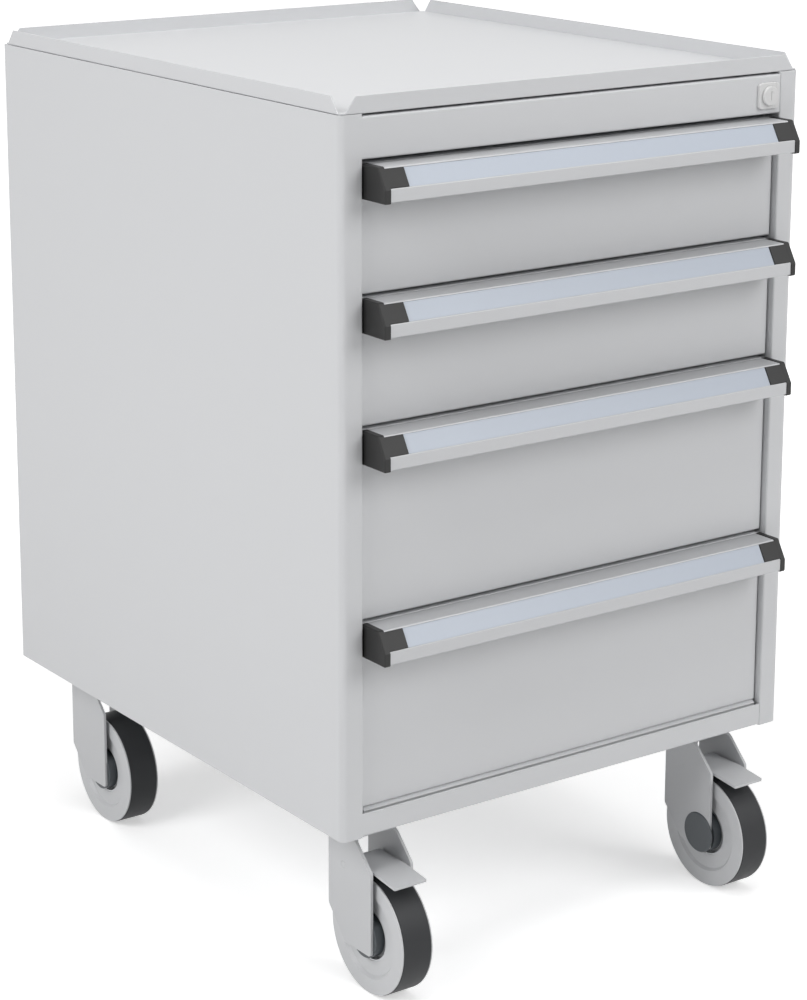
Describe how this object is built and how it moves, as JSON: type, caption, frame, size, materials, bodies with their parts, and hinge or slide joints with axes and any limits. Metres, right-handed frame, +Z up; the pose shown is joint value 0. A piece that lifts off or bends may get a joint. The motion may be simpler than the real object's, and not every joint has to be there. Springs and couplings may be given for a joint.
{
  "type": "mobile drawer unit",
  "caption": "Rolling sheet-steel drawer cabinet with full-width grips, a central lock, a shallow top tray and braked swivel castors.",
  "frame": {"origin": "on the floor, under the middle of the unit's outline", "axes": "+Z up, drawers open towards -Y, +X to the right for someone facing the drawers"},
  "size_m": [0.512, 0.6256, 0.811],
  "materials": {
    "body_paint": "satin light grey powder coat",
    "drawer_paint": "satin light grey powder coat",
    "castor_paint": "satin pale grey coat",
    "lock_white": "smooth near-white",
    "grip_aluminium": "fine satin anodised, drawn along its length",
    "label_strip": "smooth pale blue-grey",
    "cap_black": "fine-grained moulded black",
    "zinc_steel": "bright zinc plating",
    "hub_slate": "smooth slate grey moulding",
    "wheel_grey": "smooth light grey moulding",
    "tyre_rubber": "smooth dark grey rubber"
  },
  "bodies": {
    "cabinet": {"side_panel_left": "body_paint", "side_panel_right": "body_paint", "back_panel": "body_paint", "base_panel": "body_paint", "top_tray": "body_paint", "lock_rail": "body_paint", "lock_escutcheon": "lock_white", "uprights": "zinc_steel", "cabinet_runners": "zinc_steel", "castor_plates": "zinc_steel", "castor_bolts": "zinc_steel", "lock_bar_guides": "zinc_steel"},
    "lock_cylinder": {"lock_barrel": "lock_white"},
    "lock_rod": {"lock_bar": "zinc_steel"},
    "drawer_1": {"drawer_1_front": "body_paint", "drawer_1_box": "drawer_paint", "drawer_1_handle": "grip_aluminium", "drawer_1_label": "label_strip", "drawer_1_end_caps": "cap_black", "drawer_1_runners": "zinc_steel"},
    "drawer_1_middle": {"drawer_1_mid_runners": "zinc_steel"},
    "drawer_2": {"drawer_2_front": "body_paint", "drawer_2_box": "drawer_paint", "drawer_2_handle": "grip_aluminium", "drawer_2_label": "label_strip", "drawer_2_end_caps": "cap_black", "drawer_2_runners": "zinc_steel"},
    "drawer_2_middle": {"drawer_2_mid_runners": "zinc_steel"},
    "drawer_3": {"drawer_3_front": "body_paint", "drawer_3_box": "drawer_paint", "drawer_3_handle": "grip_aluminium", "drawer_3_label": "label_strip", "drawer_3_end_caps": "cap_black", "drawer_3_runners": "zinc_steel"},
    "drawer_3_middle": {"drawer_3_mid_runners": "zinc_steel"},
    "drawer_4": {"drawer_4_front": "body_paint", "drawer_4_box": "drawer_paint", "drawer_4_handle": "grip_aluminium", "drawer_4_label": "label_strip", "drawer_4_end_caps": "cap_black", "drawer_4_runners": "zinc_steel"},
    "drawer_4_middle": {"drawer_4_mid_runners": "zinc_steel"},
    "castor_fl": {"castor_fl_fork": "castor_paint", "castor_fl_axle": "hub_slate"},
    "castor_fl_roller": {"castor_fl_wheel": "wheel_grey", "castor_fl_tyre": "tyre_rubber"},
    "castor_fl_brake": {"castor_fl_pedal": "castor_paint"},
    "castor_fr": {"castor_fr_fork": "castor_paint", "castor_fr_axle": "hub_slate"},
    "castor_fr_roller": {"castor_fr_wheel": "wheel_grey", "castor_fr_tyre": "tyre_rubber"},
    "castor_fr_brake": {"castor_fr_pedal": "castor_paint"},
    "castor_rl": {"castor_rl_fork": "castor_paint", "castor_rl_axle": "hub_slate"},
    "castor_rl_roller": {"castor_rl_wheel": "wheel_grey", "castor_rl_tyre": "tyre_rubber"},
    "castor_rr": {"castor_rr_fork": "castor_paint", "castor_rr_axle": "hub_slate"},
    "castor_rr_roller": {"castor_rr_wheel": "wheel_grey", "castor_rr_tyre": "tyre_rubber"}
  },
  "joints": [
    {"name": "drawer_1_slide", "type": "slide", "parent": "cabinet", "child": "drawer_1", "axis": [0, -1, 0], "range_m": [0, 0.48]},
    {"name": "drawer_1_middle_slide", "type": "slide", "parent": "cabinet", "child": "drawer_1_middle", "axis": [0, -1, 0], "range_m": [0, 0.24]},
    {"name": "drawer_2_slide", "type": "slide", "parent": "cabinet", "child": "drawer_2", "axis": [0, -1, 0], "range_m": [0, 0.48]},
    {"name": "drawer_2_middle_slide", "type": "slide", "parent": "cabinet", "child": "drawer_2_middle", "axis": [0, -1, 0], "range_m": [0, 0.24]},
    {"name": "drawer_3_slide", "type": "slide", "parent": "cabinet", "child": "drawer_3", "axis": [0, -1, 0], "range_m": [0, 0.48]},
    {"name": "drawer_3_middle_slide", "type": "slide", "parent": "cabinet", "child": "drawer_3_middle", "axis": [0, -1, 0], "range_m": [0, 0.24]},
    {"name": "drawer_4_slide", "type": "slide", "parent": "cabinet", "child": "drawer_4", "axis": [0, -1, 0], "range_m": [0, 0.48]},
    {"name": "drawer_4_middle_slide", "type": "slide", "parent": "cabinet", "child": "drawer_4_middle", "axis": [0, -1, 0], "range_m": [0, 0.24]},
    {"name": "lock_turn", "type": "hinge", "parent": "cabinet", "child": "lock_cylinder", "pos_m": [0.2175, -0.27715, 0.77525], "axis": [0, 1, 0], "range_deg": [0, 90]},
    {"name": "lock_rod_slide", "type": "slide", "parent": "cabinet", "child": "lock_rod", "axis": [0, 0, -1], "range_m": [0, 0.01131]},
    {"name": "castor_fl_swivel", "type": "hinge", "parent": "cabinet", "child": "castor_fl", "pos_m": [-0.1998, -0.22565, 0.1476], "axis": [0, 0, 1], "continuous": true},
    {"name": "castor_fl_roll", "type": "hinge", "parent": "castor_fl", "child": "castor_fl_roller", "pos_m": [-0.1998, -0.25745, 0.0554], "axis": [1, 0, 0], "continuous": true},
    {"name": "castor_fl_brake_press", "type": "hinge", "parent": "castor_fl", "child": "castor_fl_brake", "pos_m": [-0.1998, -0.23015, 0.1145], "axis": [1, 0, 0], "range_deg": [0, 9.5]},
    {"name": "castor_fr_swivel", "type": "hinge", "parent": "cabinet", "child": "castor_fr", "pos_m": [0.1998, -0.22565, 0.1476], "axis": [0, 0, 1], "continuous": true},
    {"name": "castor_fr_roll", "type": "hinge", "parent": "castor_fr", "child": "castor_fr_roller", "pos_m": [0.1998, -0.25745, 0.0554], "axis": [1, 0, 0], "continuous": true},
    {"name": "castor_fr_brake_press", "type": "hinge", "parent": "castor_fr", "child": "castor_fr_brake", "pos_m": [0.1998, -0.23015, 0.1145], "axis": [1, 0, 0], "range_deg": [0, 9.5]},
    {"name": "castor_rl_swivel", "type": "hinge", "parent": "cabinet", "child": "castor_rl", "pos_m": [-0.1998, 0.24945, 0.1476], "axis": [0, 0, 1], "continuous": true},
    {"name": "castor_rl_roll", "type": "hinge", "parent": "castor_rl", "child": "castor_rl_roller", "pos_m": [-0.1998, 0.21765, 0.0554], "axis": [1, 0, 0], "continuous": true},
    {"name": "castor_rr_swivel", "type": "hinge", "parent": "cabinet", "child": "castor_rr", "pos_m": [0.1998, 0.24945, 0.1476], "axis": [0, 0, 1], "continuous": true},
    {"name": "castor_rr_roll", "type": "hinge", "parent": "castor_rr", "child": "castor_rr_roller", "pos_m": [0.1998, 0.21765, 0.0554], "axis": [1, 0, 0], "continuous": true}
  ],
  "couplings": [
    {"joint": "drawer_1_middle_slide", "follows": "drawer_1_slide", "ratio": 0.5},
    {"joint": "drawer_2_middle_slide", "follows": "drawer_2_slide", "ratio": 0.5},
    {"joint": "drawer_3_middle_slide", "follows": "drawer_3_slide", "ratio": 0.5},
    {"joint": "drawer_4_middle_slide", "follows": "drawer_4_slide", "ratio": 0.5},
    {"joint": "lock_turn", "follows": "lock_rod_slide", "rad_per_m": 138.84}
  ]
}
